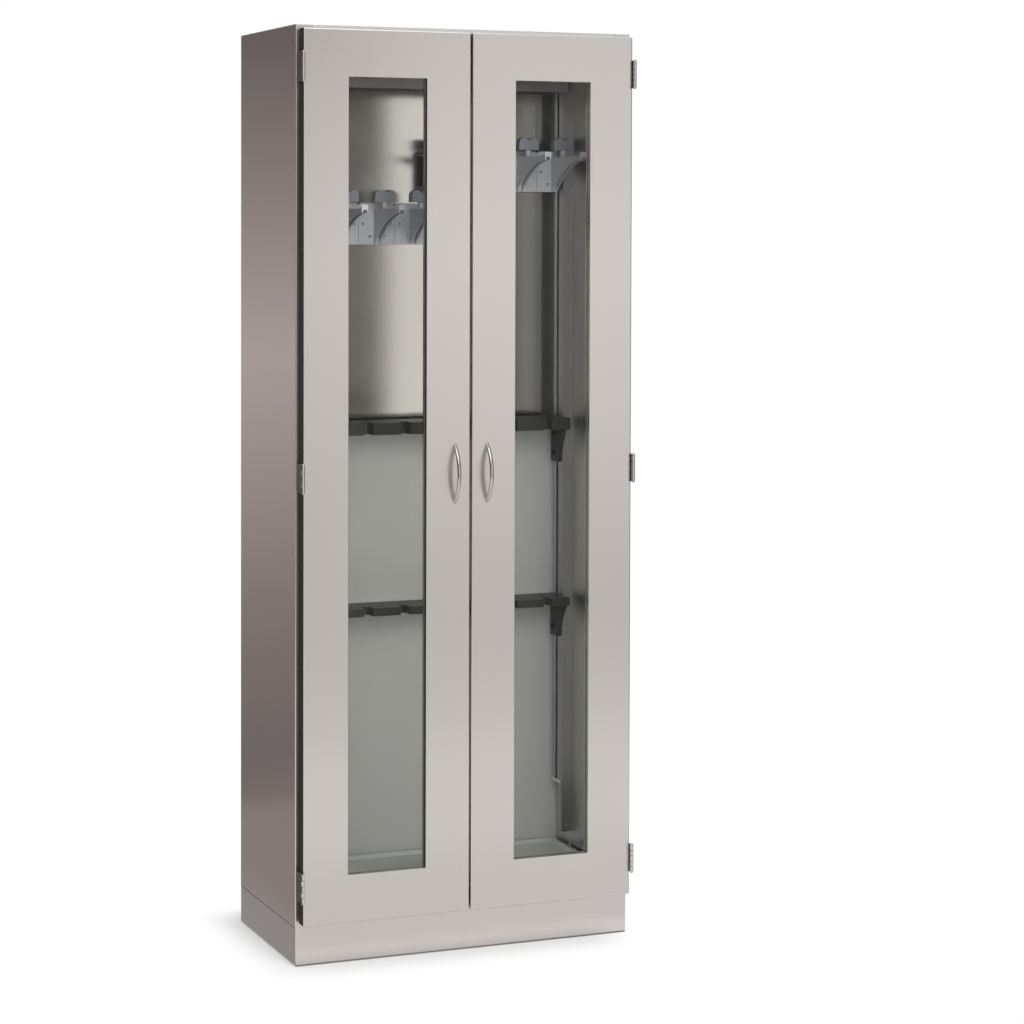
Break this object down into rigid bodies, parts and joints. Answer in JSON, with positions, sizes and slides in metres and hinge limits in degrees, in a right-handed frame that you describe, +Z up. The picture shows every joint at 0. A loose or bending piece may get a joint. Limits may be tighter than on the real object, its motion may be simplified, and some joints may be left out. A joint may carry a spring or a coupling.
{
  "type": "scope cabinet",
  "caption": "Tall stainless steel scope cabinet with two glazed doors, moulded scope hangers, tube guides and a drip tray.",
  "frame": {"origin": "middle of the footprint, doors and hinges included, at floor level", "axes": "+X to the right seen from the front, +Y from the doors to the back panel, +Z up"},
  "size_m": [0.826, 0.495, 2.134],
  "materials": {
    "brushed_steel": "brushed",
    "polished_steel": "satin",
    "bright_steel": "satin",
    "window_glass": "clear",
    "black_rubber": "matte",
    "grey_moulding": "moulded",
    "black_moulding": "moulded",
    "light_grey_moulding": "moulded",
    "tray_moulding": "moulded",
    "catch_moulding": "moulded",
    "pale_coating": "powder coated",
    "track_aluminium": "anodised"
  },
  "bodies": {
    "case": {"case_screws": "bright_steel", "corner_uprights": "brushed_steel", "door_catches": "catch_moulding", "floor_panel": "brushed_steel", "front_header_rail": "brushed_steel", "front_sill": "brushed_steel", "hanger_rails": "brushed_steel", "hanger_screws": "bright_steel", "hinge_pins": "bright_steel", "left_corner_track": "track_aluminium", "left_hinge_frame_leaves": "brushed_steel", "left_side_panel": "brushed_steel", "lower_back_panel": "pale_coating", "plinth_rear_rail": "brushed_steel", "plinth_skirt": "brushed_steel", "rear_top_channel": "brushed_steel", "right_corner_track": "track_aluminium", "right_hinge_frame_leaves": "brushed_steel", "right_side_panel": "brushed_steel", "scope_hanger_1": "grey_moulding", "scope_hanger_2": "grey_moulding", "scope_hanger_3": "grey_moulding", "scope_hanger_4": "grey_moulding", "scope_hanger_5": "grey_moulding", "scope_hanger_6": "grey_moulding", "scope_hanger_7": "grey_moulding", "scope_hanger_8": "grey_moulding", "top_panel": "brushed_steel", "track_end_clips": "light_grey_moulding", "upper_back_panel": "brushed_steel"},
    "left_door": {"left_catch_strike": "bright_steel", "left_door_glass": "window_glass", "left_door_handle": "polished_steel", "left_door_liner": "brushed_steel", "left_door_seal": "black_rubber", "left_door_shell": "brushed_steel", "left_glazing_gasket": "black_rubber", "left_handle_screws": "bright_steel", "left_hinge_door_leaves": "brushed_steel", "left_hinge_door_screws": "bright_steel"},
    "right_door": {"right_catch_strike": "bright_steel", "right_door_glass": "window_glass", "right_door_handle": "polished_steel", "right_door_liner": "brushed_steel", "right_door_seal": "black_rubber", "right_door_shell": "brushed_steel", "right_glazing_gasket": "black_rubber", "right_handle_screws": "bright_steel", "right_hinge_door_leaves": "brushed_steel", "right_hinge_door_screws": "bright_steel"},
    "upper_guide": {"upper_clamp_screws": "black_moulding", "upper_guide_brackets": "black_moulding", "upper_slot_nuts": "bright_steel", "upper_tube_guide": "black_moulding"},
    "lower_guide": {"lower_clamp_screws": "black_moulding", "lower_guide_brackets": "black_moulding", "lower_slot_nuts": "bright_steel", "lower_tube_guide": "black_moulding"},
    "tray": {"drip_tray": "tray_moulding", "tray_handles": "polished_steel"}
  },
  "joints": [
    {"name": "left_door_hinge", "type": "hinge", "parent": "case", "child": "left_door", "pos_m": [-0.4077, -0.222, 1.1124], "axis": [0, 0, -1], "range_deg": [0, 180]},
    {"name": "right_door_hinge", "type": "hinge", "parent": "case", "child": "right_door", "pos_m": [0.4077, -0.222, 1.1124], "axis": [0, 0, 1], "range_deg": [0, 180]},
    {"name": "upper_guide_slide", "type": "slide", "parent": "case", "child": "upper_guide", "axis": [0, 0, 1], "range_m": [-0.15, 0.3]},
    {"name": "lower_guide_slide", "type": "slide", "parent": "case", "child": "lower_guide", "axis": [0, 0, 1], "range_m": [-0.15, 0.15]},
    {"name": "tray_lift", "type": "slide", "parent": "case", "child": "tray", "axis": [0, 0, 1], "range_m": [0, 0.03]}
  ]
}
